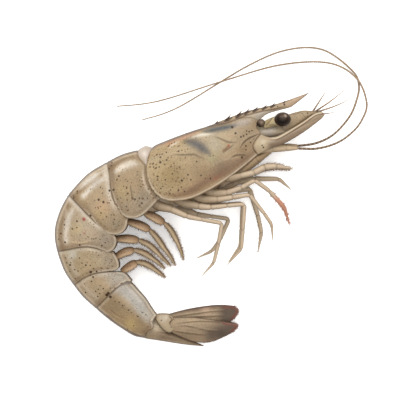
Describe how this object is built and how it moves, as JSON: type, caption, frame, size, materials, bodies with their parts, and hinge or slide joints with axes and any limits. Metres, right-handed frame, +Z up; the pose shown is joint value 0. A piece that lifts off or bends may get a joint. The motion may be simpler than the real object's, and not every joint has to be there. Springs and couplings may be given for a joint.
{
  "type": "raw brown shrimp",
  "caption": "Whole raw brown shrimp lying on its side, with a toothed rostrum, curled segmented tail, tail fan, jointed legs and long looping antennae.",
  "frame": {"origin": "middle of the footprint on the surface that the shrimp lies on, under the middle of its bounding box", "axes": "+X towards the rostrum's tip, +Y towards the back of the head, +Z up across the animal, out of its right flank"},
  "size_m": [0.0942, 0.0906, 0.0137],
  "materials": {
    "carapace_shell": "moist translucent shell, olive tan with brown speckles",
    "abdomen_shell": "moist translucent shell, grey beige with brown speckles",
    "membrane": "moist pale pinkish skin",
    "head_shell": "moist shell, cream to tan",
    "eye": "wet black brown",
    "leg_shell": "thin shell, cream tan",
    "red_leg_shell": "thin shell, cream tan turning orange",
    "swimming_leg_shell": "thin shell, brown tan",
    "antenna": "dull tan brown",
    "tail_shell": "thin ribbed shell, tan turning dark at the tips"
  },
  "bodies": {
    "root": {"carapace": "carapace_shell", "hinge_lobe": "membrane", "thorax_underside": "membrane", "somite_1": "abdomen_shell", "somite_2": "abdomen_shell", "somite_3": "abdomen_shell", "somite_4": "abdomen_shell", "somite_5": "abdomen_shell", "somite_6": "abdomen_shell", "telson": "tail_shell", "head_core": "head_shell", "eye_right": "eye", "eyestalk_right": "head_shell", "orbit_bead_right": "eye", "antennule_right": "head_shell", "antennal_scale_right": "head_shell", "antenna_base_right": "head_shell", "antenna_right": "antenna", "maxilliped_right": "leg_shell", "leg_1_right": "leg_shell", "leg_2_right": "red_leg_shell", "leg_3_right": "leg_shell", "leg_4_right": "leg_shell", "leg_5_right": "leg_shell", "pleopod_1_right": "swimming_leg_shell", "pleopod_2_right": "swimming_leg_shell", "pleopod_3_right": "swimming_leg_shell", "pleopod_4_right": "swimming_leg_shell", "pleopod_5_right": "swimming_leg_shell", "tail_base_right": "membrane", "tail_outer_blade_right": "tail_shell", "tail_inner_blade_right": "tail_shell", "eye_left": "eye", "eyestalk_left": "head_shell", "orbit_bead_left": "eye", "antennule_left": "head_shell", "antennal_scale_left": "head_shell", "antenna_base_left": "head_shell", "antenna_left": "antenna", "maxilliped_left": "leg_shell", "leg_1_left": "leg_shell", "leg_2_left": "leg_shell", "leg_3_left": "leg_shell", "leg_4_left": "leg_shell", "leg_5_left": "leg_shell", "pleopod_1_left": "swimming_leg_shell", "pleopod_2_left": "swimming_leg_shell", "pleopod_3_left": "swimming_leg_shell", "pleopod_4_left": "swimming_leg_shell", "pleopod_5_left": "swimming_leg_shell", "tail_base_left": "membrane", "tail_outer_blade_left": "tail_shell", "tail_inner_blade_left": "tail_shell"}
  },
  "joints": []
}
